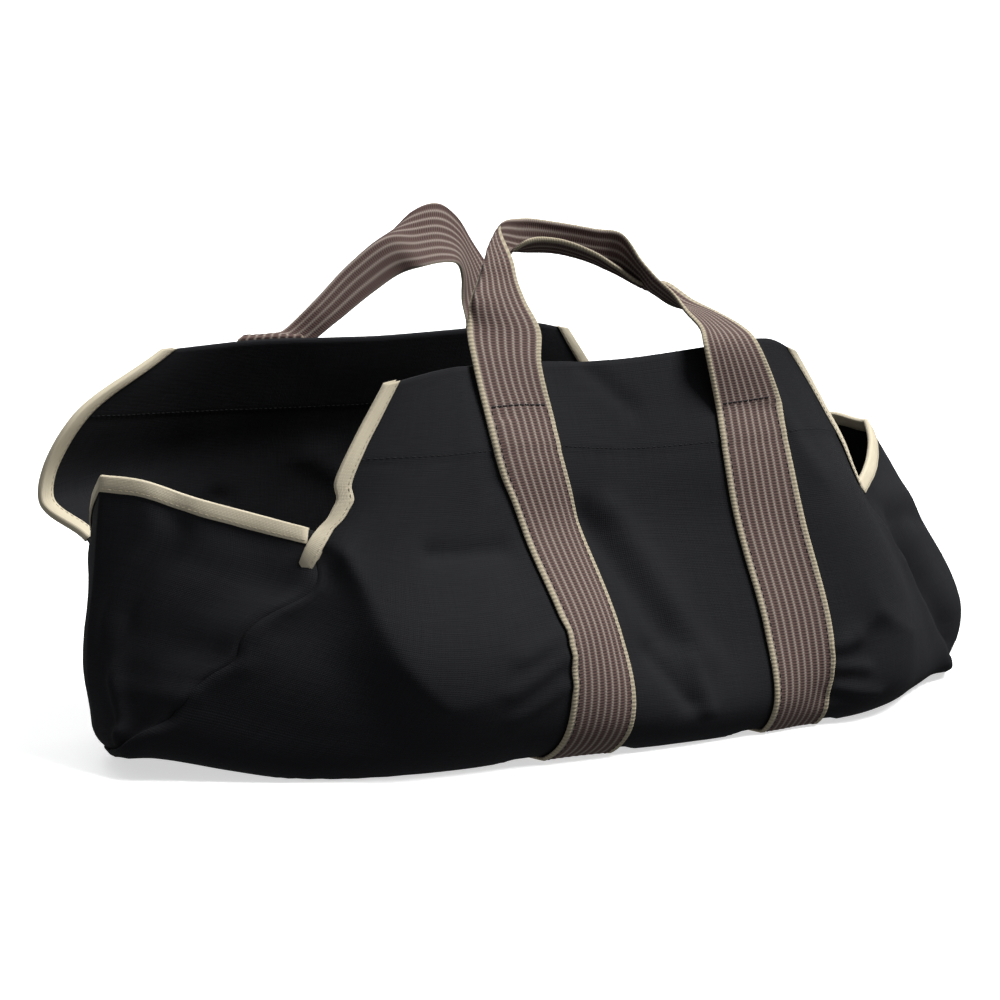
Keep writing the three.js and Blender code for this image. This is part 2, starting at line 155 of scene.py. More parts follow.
# Handle loops above the top edges, from the left leg to the right leg: the strap's inner
# edge, the line that it folds along, its outer edge, and how far across the fold lies.
FRONT_HANDLE = [
    ((-59, -116, 212), (-88, -112, 213), (-100, -110, 213), 0.7),
    ((-54, -109, 229), (-91, -103, 232), (-98, -102, 232), 0.84),
    ((-56, -99, 244), (-94, -103, 246), (-92, -98, 245), 0.86),
    ((-57, -93, 255), (-84, -96, 257), (-79, -88, 255), 0.7),
    ((-56, -88, 265), (-78, -92, 265), (-72, -83, 261), 0.58),
    ((-54, -74, 284), (-69, -84, 273), (-54, -74, 263), 0.5),
    ((-35, -69, 287), (-35, -69, 269), (-46, -87, 276), 0.5),
    ((-8, -68, 284), (-7, -64, 267), (-20, -81, 276), 0.5),
    ((15, -71, 280), (18, -64, 261), (8, -78, 268), 0.55),
    ((31, -75, 277), (37, -62, 254), (28, -74, 259), 0.62),
    ((37, -85, 262), (51, -68, 246), (46, -74, 249), 0.66),
    ((42, -92, 253), (50, -78, 244), (71, -67, 248), 0.5),
    ((46, -101, 245), (58, -86, 237), (80, -80, 238), 0.5),
    ((49, -109, 235), (67, -98, 233), (88, -92, 231), 0.5),
    ((51, -119, 226), (71, -111, 225), (92, -108, 224), 0.5),
    ((49, -124, 218), (69, -122, 218), (91, -121, 217), 0.5),
]
BACK_HANDLE = [
    ((-49, 115, 208), (-65, 116, 216), (-52, 132, 210), 0.5),
    ((-31, 113, 219), (-46, 114, 231), (-32, 129, 226), 0.5),
    ((-5, 111, 236), (-20, 113, 253), (-5, 127, 248), 0.5),
    ((14, 108, 247), (5, 111, 268), (19, 126, 268), 0.5),
    ((23, 99, 251), (25, 111, 268), (36, 122, 284), 0.5),
    ((38, 98, 253), (43, 110, 269), (49, 120, 287), 0.5),
    ((52, 102, 251), (61, 115, 263), (70, 128, 278), 0.5),
    ((59, 107, 242), (73, 119, 251), (85, 132, 262), 0.5),
    ((61, 110, 228), (80, 117, 232), (100, 123, 236), 0.5),
]

# Folds in the main panel. Each runs from one place to another, in station and course numbers,
# and stands out by a height over a width in those numbers. One with a second width has a sharp
# crest, and falls away over that width on its lower side.
FOLDS = [
    # Ridge from the left notch, the hollow below it and those beside the straps
    ((0.12, 2.1), (0.32, 2.25), 3, 0.12, 0.1),
    ((0.32, 2.25), (1.12, 3.44), 10, 0.3, 0.2),
    ((0.4, 2.9), (0.96, 3.7), -4.5, 0.26),
    ((2.45, 2.2), (2.4, 2.9), -4.0, 0.3),
    ((4.3, 3.9), (4.7, 3.2), -4.0, 0.2),
    # Crease and drag lines left of the left strap
    ((1.0, 2.1), (1.58, 2.13), -5, 0.04, 0.04),
    ((1.76, 2.85), (1.5, 2.97), 2.0, 0.05),
    ((1.75, 3.05), (1.46, 3.32), 2.2, 0.06),
    ((1.74, 3.38), (1.52, 3.66), 1.8, 0.05),
    # Slanting folds between the straps
    ((2.42, 1.9), (2.78, 2.9), -4.5, 0.14),
    ((2.68, 1.8), (3.12, 3.2), 2.6, 0.14),
    ((2.58, 3.15), (2.84, 3.75), -3.2, 0.1),
    ((2.96, 3.3), (3.02, 3.9), 2.4, 0.08),
    # Pulls at the top edge
    ((2.72, 0.05), (3.05, 0.5), -2.2, 0.09),
    ((1.35, 0.1), (1.55, 1.3), -1.8, 0.14),
    ((4.45, 0.15), (4.75, 1.4), 1.8, 0.16),
    # Arched fold and drag lines right of the right strap
    ((4.42, 3.22), (4.8, 2.98), 3.4, 0.11, 0.2),
    ((4.8, 2.98), (5.16, 3.36), 3.4, 0.11, 0.2),
    ((4.34, 3.3), (4.56, 3.24), 2.0, 0.05),
    ((4.34, 3.56), (4.62, 3.62), 2.2, 0.05),
    ((4.34, 3.86), (4.72, 4.02), 2.0, 0.06),
    # Soft folds in the back wall
    ((1.2, 11.2), (2.9, 11.6), 2.0, 0.4),
    ((1.7, 10.1), (1.2, 9.2), 2.2, 0.14),
    ((2.6, 10.9), (3.3, 9.6), -2.4, 0.2),
    ((4.4, 10.4), (5.2, 9.3), 2.4, 0.14),
]

# Folds in the end panels: place across from the front seam and down from the top edge, 0 to 1
END_FOLDS = {
    "left": [
        ((0.3, 0.12), (0.35, 0.42), 2.6, 0.03),
        ((0.36, 0.12), (0.42, 0.45), -2.6, 0.035),
        ((0.17, 0.9), (0.33, 0.62), -3.0, 0.03),
        ((0.12, 0.2), (0.2, 0.6), 2.5, 0.07),
        ((0.2, 0.9), (0.8, 0.9), -5.0, 0.05),
    ],
    "right": [
        ((0.1, 0.09), (0.42, 0.24), 1.4, 0.03),
        ((0.09, 0.17), (0.4, 0.31), -1.8, 0.02),
        ((0.08, 0.35), (0.12, 0.82), -9.0, 0.07),
        ((0.28, 0.76), (0.3, 0.86), 2.0, 0.07),
    ],
}

# Places where the top edge of an end panel stands higher: across, over what reach and by how much
END_LIFTS = {
    "left": [{"across": 0.4, "reach": 0.09, "height": 3}],
    "right": [{"across": 0.62, "reach": 0.09, "height": 11}],
}

# Where the side edges and end seams stray along the cloth: at which course, how far in
# stations and over how many courses
SEAM_STRAYS = {
    "left": [
        (1.5, 0.07, 0.15),
        (1.76, 0.07, 0.2),
        (2.52, 0.21, 0.3),
        (3.45, 0.05, 0.16),
        (3.95, -0.03, 0.16),
        (4.4, 0.04, 0.2),
    ],
    "right": [
        (2.9, 0.02, 0.25),
        (3.9, -0.015, 0.3),
    ],
}

# How far the crest of a sharp fold is rounded, in the same numbers as its width, and how much
# the second number of a place counts against the first in the width of a fold
CREST = 0.02
FOLD_SCALE = {"panel": 0.6, "end": 0.5}

# Slack in the cloth: heights and the distances between them
SLACK = [{"height": 1.5, "size": 85}, {"height": 0.6, "size": 34}]
SEAM_PUCKER = {"height": 1.5, "size": 14, "reach": 0.13}

# How far the right end panel is tucked in behind the edge of the front wall, and in which courses
SEAM_TUCK = {"depth": 6, "course": 3.3, "reach": 0.9}

# Roll that both cloths make beside an end seam: its height, and how far from the seam it is
# highest, in stations on the main panel and as a share of the width on an end panel
SEAM_ROLL = {"height": 2.9, "on_panel": 0.05, "on_end": 0.02}

# How fast puckers and rolls set in past the notches, and how late
SEWN_RAMP = {"steep": 3, "late": 0.7}

# End panels: how fast their relief sets in from each edge, how late they turn to the seam at
# their foot and how fast the lifts of their top edge fade below it
END_RAMP = {"foot": 6, "top": 6, "seam": 14}
FOOT_TURN = 6
LIFT_FADE = 3

# Stitches: length, gap and thread
STRAP_STITCH = {"length": 2.6, "gap": 1.5, "radius": 0.22}
CROSS_STITCH = {"length": 3.2, "gap": 0.4, "radius": 0.42}
HEM_STITCH = {"length": 2.4, "gap": 1.1, "radius": 0.2}
TAPE_STITCH = {"length": 2.2, "gap": 1.2, "radius": 0.17}
STRAP_STITCH_INSET = 4.5
TAPE_STITCH_DEPTH = 6.2
HEM_STITCH_COURSES = {"front": 0.93, "back": 12.07}
HEM_STITCH_INSET = 3

# Cloth coordinate from one side of a thread to the next
STITCH_SIDE = 0.1

# Cross seam of each leg: how far along the strap it lies past where the strap leaves the wall
CROSS_SEAM = {"front": 8, "back": -28}

# The camera of the photograph, in degrees and millimetres
CAMERA = {"azimuth": -38, "elevation": 7, "distance": 2100, "aside": 3, "height": 123, "lens": 132.3,
          "sensor": 36}

# Studio lights far off, placed like the camera in degrees, and how wide each is
LIGHTS = [
    {"name": "key", "azimuth": 34, "elevation": 56, "strength": 5.0, "width": 30},
    {"name": "back", "azimuth": 160, "elevation": 48, "strength": 1.3, "width": 40},
]
LIGHT_DISTANCE = 3
SKY = {"colour": (0.95, 0.97, 1, 1), "strength": 0.24}

# Round floor with a screen along its rim, in metres, and how brightly each glows
STAGE = {"reach": 9.0, "height": 3.0, "sides": 48, "floor_glow": 0.6, "screen_glow": 0.9}
STAGE_COLOUR = (0.84, 0.84, 0.84, 1)

# Colours of cloth and thread: dark and light
COLOURS = {
    "canvas": ((0.0055, 0.0056, 0.0063, 1), (0.0185, 0.0188, 0.021, 1)),
    "tape": ((0.44, 0.385, 0.275, 1), (0.7, 0.63, 0.485, 1)),
    "web_ground": ((0.028, 0.0165, 0.015, 1), (0.115, 0.069, 0.061, 1)),
    "web_cord": ((0.27, 0.23, 0.16, 1), (0.42, 0.365, 0.262, 1)),
    "black_thread": ((0.006, 0.006, 0.007, 1), (0.03, 0.03, 0.034, 1)),
    "beige_thread": ((0.35, 0.3, 0.21, 1), (0.62, 0.56, 0.43, 1)),
}
WEB_WORN = (0.15, 0.105, 0.093, 1)
WEB_PALE_RIB = (0.305, 0.26, 0.225, 1)
CORD_FUZZ = (0.5, 0.445, 0.338, 1)

COURSE_NAMES = list(COURSES)
LAST_COLUMN = (len(STATIONS) - 1) * COLUMNS_PER_STATION
LAST_ROW = (len(COURSES) - 1) * ROWS_PER_COURSE
FINE = ROWS_PER_COURSE // COARSE_ROWS
EDGE_COLUMN = {"left": 0, "right": LAST_COLUMN}
INWARD = {"left": 1, "right": -1}
STRAP_COLUMNS = {
    "left": STATIONS.index("left_strap") * COLUMNS_PER_STATION,
    "right": STATIONS.index("right_strap") * COLUMNS_PER_STATION,
}


def course_row(name):
    return COURSE_NAMES.index(name) * ROWS_PER_COURSE


def unit(vectors):
    return vectors / np.maximum(np.linalg.norm(vectors, axis=-1, keepdims=True), 1e-9)


def mix(start, end, share):
    return start + (end - start) * share


def smooth_curve(points, shares):
    """Points at shares from 0 to 1 along a smooth curve through the given points."""
    points = np.asarray(points, float)
    first = 2 * points[0] - points[1]
    last = 2 * points[-1] - points[-2]
    through = np.vstack([first, points, last])
    gaps = np.maximum(np.linalg.norm(np.diff(through, axis=0), axis=1) ** 0.5, 1e-4)
    place = np.asarray(shares, float) * (len(points) - 1)
    span = np.minimum(place.astype(int), len(points) - 2)
    weight = (place - span)[:, None]
    before, start, end, after = (through[span + step] for step in range(4))
    gap_before, gap, gap_after = (gaps[span + step][:, None] for step in range(3))
    leave = (start - before) / gap_before - (end - before) / (gap_before + gap) + (end - start) / gap
    arrive = (end - start) / gap - (after - start) / (gap + gap_after) + (after - end) / gap_after
    leave = leave * gap
    arrive = arrive * gap
    cube = 2 * start - 2 * end + leave + arrive
    square = -3 * start + 3 * end - 2 * leave - arrive
    return ((cube * weight + square) * weight + leave) * weight + start


def points_at(places, along, points):
    """Points at places along a line whose own points lie at the distances given along it."""
    return np.stack([np.interp(places, along, points[:, axis]) for axis in range(3)], axis=-1)


def grid_normals(grid):
    """Normal at every point of a grid of rows and columns, from its neighbours."""
    along = np.gradient(grid, axis=0)
    across = np.gradient(grid, axis=1)
    return unit(np.cross(along, across))


def fold_height(station, course, course_scale, start, end, height, width, below=None):
    """Height of a fold: full along its line, fading to the sides and ends."""
    run = np.subtract(end, start)
    reach_station = station - start[0]
    reach_course = course - start[1]
    along = np.clip((run[0] * reach_station + run[1] * reach_course) / (run @ run), 0, 1)
    off_station = reach_station - along * run[0]
    off_course = reach_course - along * run[1]
    aside = np.hypot(off_station, off_course * course_scale)
    if below is None:
        return height * np.exp(-((aside / width) ** 2))
    away = np.hypot(off_station, off_course) * np.hypot(*run)
    turn = (run[0] * reach_course - run[1] * reach_station) / np.maximum(away, 1e-9)
    return height * np.exp(-np.hypot(aside, CREST) / mix(width, below, (1 + turn) / 2))


def rest_on_floor(grid):
    """Cloth lies on the floor, and over a strap where one passes under it."""
    lift = np.zeros(grid.shape[:2])
    strap_lift = STRAP_THICKNESS + 2 * STRAP_GAP
    for station in ("left_strap", "right_strap"):
        strap_x = COURSES["bottom"][STATIONS.index(station)][0]
        away = np.abs(grid[..., 0] - strap_x) - STRAP_WIDTH / 2
        share = np.clip((away - LIFT_MARGIN) / (LIFT_REACH - LIFT_MARGIN), 0, 1)
        lift = np.maximum(lift, strap_lift * (1 - share * share * (3 - 2 * share)))
    grid[..., 2] = np.maximum(grid[..., 2], CANVAS_THICKNESS / 2 + lift)


def ripple(points, size):
    """Uneven heights from about -1 to 1 at points, about as far apart as the size."""
    flat = points.reshape(-1, 3) / size
    heights = [noise.noise(Vector(point)) for point in flat]
    return np.array(heights).reshape(points.shape[:-1])


def seam_slide(side, course):
    return sum(slide * math.exp(-((course - middle) / reach) ** 2)
               for middle, slide, reach in SEAM_STRAYS[side])


def slide_seams(grid):
    """Lets the side edges and end seams stray along the cloth."""
    station = np.arange(LAST_COLUMN + 1) / COLUMNS_PER_STATION
    near_left = np.clip(1 - station, 0, 1) ** 2
    near_right = near_left[::-1]
    slid = grid.copy()
    for row in range(LAST_ROW + 1):
        course = row / ROWS_PER_COURSE
        moved = station + near_left * seam_slide("left", course)
        moved = moved - near_right * seam_slide("right", course)
        slid[row] = points_at(moved, station, grid[row])
    return slid


def seam_roll(from_seam, reach):
    share = from_seam / reach
    return SEAM_ROLL["height"] * share * np.exp(1 - share)


def panel_relief(grid, station, course):
    """Heights of the folds, the slack cloth between them and the puckers beside the end seams."""
    height = sum(fold_height(station, course, FOLD_SCALE["panel"], *fold) for fold in FOLDS)
    for row in SLACK:
        height = height + row["height"] * ripple(grid, row["size"])
    from_seam = np.minimum(station, station.max() - station)
    near = np.exp(-((from_seam / SEAM_PUCKER["reach"]) ** 2))
    pucker = near * SEAM_PUCKER["height"] * ripple(grid, SEAM_PUCKER["size"])
    roll = seam_roll(from_seam, SEAM_ROLL["on_panel"])
    first, last = COURSE_NAMES.index("front notch"), COURSE_NAMES.index("back notch")
    past_notch = np.minimum(course - first, last - course)
    sewn = np.clip(past_notch * SEWN_RAMP["steep"] - SEWN_RAMP["late"], 0, 1)
    return height + sewn * (pucker + roll)


def panel_middle():
    shares = np.linspace(0, 1, LAST_COLUMN + 1)
    rails = np.array([smooth_curve(stops, shares) for stops in COURSES.values()])
    down = np.linspace(0, 1, LAST_ROW + 1)
    strips = [smooth_curve(rails[:, column], down) for column in range(LAST_COLUMN + 1)]
    grid = slide_seams(np.array(strips).transpose(1, 0, 2))
    course, station = np.mgrid[0:LAST_ROW + 1, 0:LAST_COLUMN + 1].astype(float)
    course /= ROWS_PER_COURSE
    station /= COLUMNS_PER_STATION
    grid = grid + grid_normals(grid) * panel_relief(grid, station, course)[..., None]
    rest_on_floor(grid)
    return grid


PANEL = panel_middle()
PANEL_NORMALS = grid_normals(PANEL)


def panel_thickness(row):
    hem = row < course_row("front hem") or row > course_row("back hem")
    return HEM_THICKNESS if hem else CANVAS_THICKNESS


PANEL_THICKNESS = np.array([panel_thickness(row) for row in range(LAST_ROW + 1)])


def lengths_along(points):
    """Distance of each point from the first, along the line."""
    return np.concatenate([[0], np.cumsum(np.linalg.norm(np.diff(points, axis=0), axis=1))])


def cloth_uv(grid):
    """Cloth coordinates of a grid in metres, so that a weave keeps its size."""
    rows, columns = grid.shape[:2]
    down = lengths_along(grid[:, columns // 2])
    across = lengths_along(grid[rows // 2])
    uv = np.stack(np.meshgrid(across, down), axis=-1)
    return uv * MM


def rim_places(rows, columns):
    top = [(0, column) for column in range(columns - 1)]
    right = [(row, columns - 1) for row in range(rows - 1)]
    bottom = [(rows - 1, column) for column in range(columns - 1, 0, -1)]
    left = [(row, 0) for row in range(rows - 1, 0, -1)]
    return top + right + bottom + left


def make_object(name, points, faces, uv, material):
    """Mesh object from points in millimetres, with cloth coordinates for each point."""
    mesh = bpy.data.meshes.new(name)
    mesh.from_pydata((np.asarray(points) * MM).tolist(), [], [list(face) for face in faces])
    layer = mesh.uv_layers.new(name="cloth")
    corners = np.zeros(len(mesh.loops), np.int32)
    mesh.loops.foreach_get("vertex_index", corners)
    layer.data.foreach_set("uv", np.asarray(uv, np.float32)[corners].ravel())
    work = bmesh.new()
    work.from_mesh(mesh)
    bmesh.ops.recalc_face_normals(work, faces=work.faces)
    work.to_mesh(mesh)
    work.free()
    mesh.shade_smooth()
    mesh.materials.append(material)
    made = bpy.data.objects.new(name, mesh)
    bpy.context.scene.collection.objects.link(made)
    return made


def sheet_object(name, outer, inner, uv, material, edge_roll, inner_uv=None):
    """Closed cloth between two grids, with a rounded rim."""
    rows, columns = outer.shape[:2]
    count = rows * columns
    index = np.arange(count).reshape(rows, columns)
    corners = [index[:-1, :-1], index[1:, :-1], index[1:, 1:], index[:-1, 1:]]
    quads = np.stack([corner.ravel() for corner in corners], axis=-1)
    faces = np.vstack([quads, quads[:, ::-1] + count]).tolist()
    middle = (outer + inner) / 2
    rim = rim_places(rows, columns)
    roll = []
    for row, column in rim:
        inside = middle[min(max(row, 1), rows - 2), min(max(column, 1), columns - 2)]
        roll.append(middle[row, column] + unit(middle[row, column] - inside) * edge_roll)
    for place, (row, column) in enumerate(rim):
        after = (place + 1) % len(rim)
        here = index[row, column]
        there = index[rim[after]]
        faces.append([here, there, 2 * count + after, 2 * count + place])
        faces.append([2 * count + place, 2 * count + after, there + count, here + count])
    points = np.vstack([outer.reshape(-1, 3), inner.reshape(-1, 3), np.array(roll)])
    rim_uv = np.array([uv[place] for place in rim])
    inner_uv = uv if inner_uv is None else inner_uv
    all_uv = np.vstack([uv.reshape(-1, 2), inner_uv.reshape(-1, 2), rim_uv])
    return make_object(name, points, faces, all_uv, material)


def tube_faces(rings, sides, first=0):
    """Quads between rings of points that are numbered from the first, and a face at each end."""
    index = np.arange(rings * sides).reshape(rings, sides) + first
    turned = np.roll(index, -1, axis=1)
    quads = np.stack([index[:-1], turned[:-1], turned[1:], index[1:]], axis=-1)
    return quads.reshape(-1, 4).tolist() + [index[0].tolist(), index[-1][::-1].tolist()]


def cloth_object(name, middle, normals, thickness, material, edge_roll):
    """Cloth of a thickness on both sides of its middle."""
    half = normals * thickness / 2
    return sheet_object(name, middle + half, middle - half, cloth_uv(middle), material, edge_roll)


def main_panel(material):
    thickness = PANEL_THICKNESS[:, None, None]
    return cloth_object("canvas_sling", PANEL, PANEL_NORMALS, thickness, material, EDGE_ROLL["sling"])


def beside_column(row, column, distances):
    """Points and normals on a row of the main panel, so far to the right of a column."""
    line = PANEL[row]
    along = lengths_along(line)
    along = along - along[column]
    return points_at(distances, along, line), unit(points_at(distances, along, PANEL_NORMALS[row]))


# Places across the webbing in millimetres, from its inner edge to its outer edge
WEB_PLACES = np.linspace(STRAP_WIDTH / 2, -STRAP_WIDTH / 2, WEB_COLUMNS)


def web_thickness():
    """Thickness of the webbing at each place across it: rounded cords at the edges, ribs between."""
    from_rib = np.abs((WEB_PLACES / WEB_RIB_PITCH + 0.5) % 1 - 0.5) * WEB_RIB_PITCH
    body = WEB_GROUND + WEB_RIB * np.exp(-((from_rib / WEB_RIB_HALF) ** 2))
    from_rim = STRAP_WIDTH / 2 - np.abs(WEB_PLACES)
    arch = np.clip(1 - (2 * from_rim / WEB_EDGE - 1) ** 2, 0, 1) ** 0.5
    return np.where(from_rim < WEB_EDGE, mix(WEB_RIM, WEB_CORD, arch), body)


def strap_row(row, side):
    """One row of the strap on the wall, from its inner edge to its outer edge."""
    distances = WEB_PLACES * INWARD[side]
    order = np.argsort(distances)
    points, normals = beside_column(row, STRAP_COLUMNS[side], distances[order])
    back = np.argsort(order)
    away = PANEL_THICKNESS[row] / 2 + STRAP_GAP + STRAP_THICKNESS / 2
    return (points + normals * away)[back]


def strap_leg(side, facing):
    """Rows of one leg from the middle of the bottom up to where it leaves the wall."""
    bottom = course_row("bottom")
    free = FREE_ROWS[facing] * FINE
    rows = range(bottom, free - 1, -1) if facing == "front" else range(bottom, LAST_ROW - free + 1)
    leg = np.array([strap_row(row, side) for row in rows])
    leg[0] += unit(leg[1] - leg[0]) * PIECE_GAP
    return leg


def soften_folds(rows):
    """Rounds sharp folds across the strap and leaves its two edges where they are."""
    for _ in range(HANDLE_SOFTENING):
        rows[:, 1:-1] = (rows[:, :-2] + 2 * rows[:, 1:-1] + rows[:, 2:]) / 4
    return rows


def handle_rows(table, left_leg, right_leg):
    """Rows of the handle loop between the two legs."""
    before = -1 - FINE
    spans = len(table) + 3
    shares = (1 + np.arange(1, HANDLE_SAMPLES) / HANDLE_SAMPLES * (spans - 2)) / spans
    paths = []
    for edge, place in enumerate((0, WEB_COLUMNS // 2, WEB_COLUMNS - 1)):
        through = [left_leg[before][place], left_leg[-1][place]]
        through += [row[edge] for row in table]
        through += [right_leg[-1][place], right_leg[before][place]]
        paths.append(smooth_curve(through, shares)[:, None])
    inner, fold, outer = paths
    across = np.linspace(0, 1, WEB_COLUMNS)[None, :, None]
    fold_places = [0.5, 0.5, *(place for *_, place in table), 0.5, 0.5]
    at = np.interp(shares * spans, range(spans + 1), fold_places)[:, None, None]
    bend = 2 * fold - (inner + outer) / 2
    rounded = inner * (1 - across) ** 2 + bend * 2 * across * (1 - across) + outer * across ** 2
    before_fold = mix(inner, fold, across / at)
    past_fold = mix(fold, outer, (across - at) / (1 - at))
    folded = soften_folds(np.where(across < at, before_fold, past_fold))
    even = np.clip(1 - HANDLE_ROUND["fade"] * np.abs(at - 0.5), 0, 1)
    return mix(folded, rounded, HANDLE_ROUND["share"] * even)


def stitch_rows(face, normals, along, leave, arrive, facing):
    """Lines of stitches on a strap: a cross seam on each leg and a row inside each corded edge."""
    first = int(np.searchsorted(along, along[leave] + CROSS_SEAM[facing]))
    last = int(np.searchsorted(along, along[arrive] - CROSS_SEAM[facing]))
    inset = np.abs(np.abs(WEB_PLACES) - (STRAP_WIDTH / 2 - STRAP_STITCH_INSET))
    inner_column = int(np.argmin(inset[:WEB_COLUMNS // 2]))
    outer_column = WEB_COLUMNS - 1 - inner_column
    across = slice(inner_column, outer_column + 1)
    rows = [{"line": face[row, across], "normals": normals[row, across], **CROSS_STITCH}
            for row in (first, last)]
    for column in (inner_column, outer_column):
        for leg in (slice(0, first + 1), slice(last, None)):
            rows.append({"line": face[leg, column], "normals": normals[leg, column], **STRAP_STITCH})
    return rows


def strap(name, table, facing, material):
    """The strap and the stitches that hold its legs."""
    left_leg = strap_leg("left", facing)
    right_leg = strap_leg("right", facing)
    loop = handle_rows(table, left_leg, right_leg)
    middle = np.vstack([left_leg, loop, right_leg[::-1]])
    normals = grid_normals(middle)
    if normals[FINE, WEB_COLUMNS // 2][2] > 0:
        normals = -normals
    half = web_thickness()[None, :, None] / 2
    face = middle + normals * half
    along = lengths_along(middle[:, WEB_COLUMNS // 2])
    uv = np.stack(np.meshgrid(WEB_PLACES, along), axis=-1) * MM
    back_uv = np.stack(np.meshgrid(WEB_PLACES * WEB_BACK, along), axis=-1) * MM
    made = sheet_object(name, face, middle - normals * half, uv, material, EDGE_ROLL["strap"], back_uv)
    leave, arrive = len(left_leg) - 1, len(middle) - len(right_leg)
    return made, stitch_rows(face, normals, along, leave, arrive, facing)


def seam_point(row, side):
    """Seam of an end panel on the main panel: set back from its edge and inside its face."""
    column = EDGE_COLUMN[side]
    edge = PANEL[row, column]
    away = unit(PANEL[row, column + INWARD[side]] - edge)
    inside = CANVAS_THICKNESS / 2 + PIECE_GAP + SEAM_ROOM
    if side == "right":
        from_tuck = (row / ROWS_PER_COURSE - SEAM_TUCK["course"]) / SEAM_TUCK["reach"]
        inside += SEAM_TUCK["depth"] * math.exp(-from_tuck ** 2)
    return edge + away * SEAM_SETBACK - PANEL_NORMALS[row, column] * inside


def end_middle(side):
    """Middle of an end panel: rows from its top edge down, columns from front seam to back seam."""
    creases = END_CREASES[side]
    top, foot = course_row("front notch"), course_row("front foot")
    depths = np.linspace(0, 1, foot - top + 1)
    crease_line = smooth_curve([place for place, _ in creases], depths)
    levels = range(len(creases))
    sharpness = np.interp(depths * levels[-1], levels, [sharp for _, sharp in creases])
    seam = np.array([seam_point(row, side) for row in range(foot, course_row("back foot") + 1)])
    across = np.linspace(0, 1, END_COLUMNS + 1)[:, None]
    seam_place = across[:, 0] * (len(seam) - 1)
    on_seam = points_at(seam_place, range(len(seam)), seam)
    grid = []
    for down, depth in enumerate(depths):
        front = seam_point(top + down, side)
        back = seam_point(course_row("back notch") - down, side)
        crease = crease_line[down]
        bend = 2 * crease - (front + back) / 2
        rounded = front * (1 - across) ** 2 + bend * 2 * across * (1 - across) + back * across ** 2
        before, past = mix(front, crease, across * 2), mix(crease, back, across * 2 - 1)
        creased = np.where(across < 0.5, before, past)
        grid.append(mix(mix(rounded, creased, sharpness[down]), on_seam, depth ** FOOT_TURN))
    return end_relief(side, np.array(grid), across[:, 0], depths)


def end_relief(side, grid, across, depths):
    """Adds the folds and slack of an end panel, which fade at its seams."""
    place_across, place_down = np.meshgrid(across, depths)
    height = sum(fold_height(place_across, place_down, FOLD_SCALE["end"], *fold)
                 for fold in END_FOLDS[side])
    for row in SLACK:
        height = height + row["height"] * ripple(grid, row["size"])
    from_seam = np.minimum(place_across, 1 - place_across)
    from_foot = np.clip((1 - place_down) * END_RAMP["foot"], 0, 1)
    from_top = np.clip(place_down * END_RAMP["top"], 0, 1)
    roll = -INWARD[side] * seam_roll(from_seam, SEAM_ROLL["on_end"]) * from_top
    height = (height * np.clip(from_seam * END_RAMP["seam"], 0, 1) + roll) * from_foot
    moved = grid + grid_normals(grid) * height[..., None]
    for lift in END_LIFTS[side]:
        near = np.exp(-(((place_across - lift["across"]) / lift["reach"]) ** 2))
        moved[..., 2] += lift["height"] * near * (1 - place_down) ** LIFT_FADE
    return moved


def end_panel(name, middle, material):
    normals = grid_normals(middle)
    return cloth_object(name, middle, normals, CANVAS_THICKNESS, material, EDGE_ROLL["end"])


def tape_section(front, back):
    """Cross-section of tape folded over an edge: how deep into the cloth and how far over its face.

    Front and back say how far the outside of the tape lies from the middle of the cloth.
    """
    centre, reach = (front - back) / 2, (front + back) / 2
    turn = np.radians(np.linspace(90, -90, 9))
    outer_turn = [(-TAPE_TURN * math.cos(a), centre + reach * math.sin(a)) for a in turn]
    inner_reach = reach - TAPE_THICKNESS
    inner_depth = TAPE_TURN - TAPE_THICKNESS
    inner_turn = [(-inner_depth * math.cos(a), centre + inner_reach * math.sin(a)) for a in turn[::-1]]
    tip = TAPE_DEPTH
    shoulder = tip - TAPE_BEVEL["deep"]
    bevel = TAPE_BEVEL["over"]
    thin = TAPE_THICKNESS
    front_face = [(shoulder, front - bevel), (tip / 2, front)]
    back_face = [(tip / 2, -back), (shoulder, -back + bevel)]
    back_edge = [(tip, -back + thin / 2), (shoulder, -back + thin)]
    front_edge = [(shoulder, front - thin), (tip, front - thin / 2)]
    return front_face + outer_turn + back_face + back_edge + inner_turn + front_edge


def binding(name, stops, material):
    """Tape folded over an edge, and the lines of stitches that hold it on both faces."""
    rings = []
    edges = np.array([stop["edge"] for stop in stops])
    along = lengths_along(edges)
    faces = {1: [], -1: []}
    for stop in stops:
        pucker = 1 + TAPE_PUCKER["share"] * noise.noise(Vector(stop["edge"]) / TAPE_PUCKER["size"])
        rings.append([stop["edge"] + stop["into"] * deep * pucker + stop["normal"] * over
                      for deep, over in tape_section(stop["front"], stop["back"])])
        seam = stop["edge"] + stop["into"] * TAPE_STITCH_DEPTH * pucker
        faces[1].append(seam + stop["normal"] * stop["front"])
        faces[-1].append(seam - stop["normal"] * stop["back"])
    rings = np.array(rings)
    around = lengths_along(rings[0])
    uv = np.stack(np.meshgrid(around, along), axis=-1).reshape(-1, 2) * MM
    made = make_object(name, rings.reshape(-1, 3), tube_faces(*rings.shape[:2]), uv, material)
    normals = np.array([stop["normal"] for stop in stops])
    runs = [{"line": np.array(line), "normals": normals * way, **TAPE_STITCH}
            for way, line in faces.items()]
    return made, runs


def tape_stop(edge, into, normal, thickness):
    """One place on a taped edge, with the tape's distances from the middle of the cloth."""
    face = thickness / 2 + TAPE_GAP + TAPE_THICKNESS
    return {"edge": edge, "into": into, "normal": normal, "front": face, "back": face}


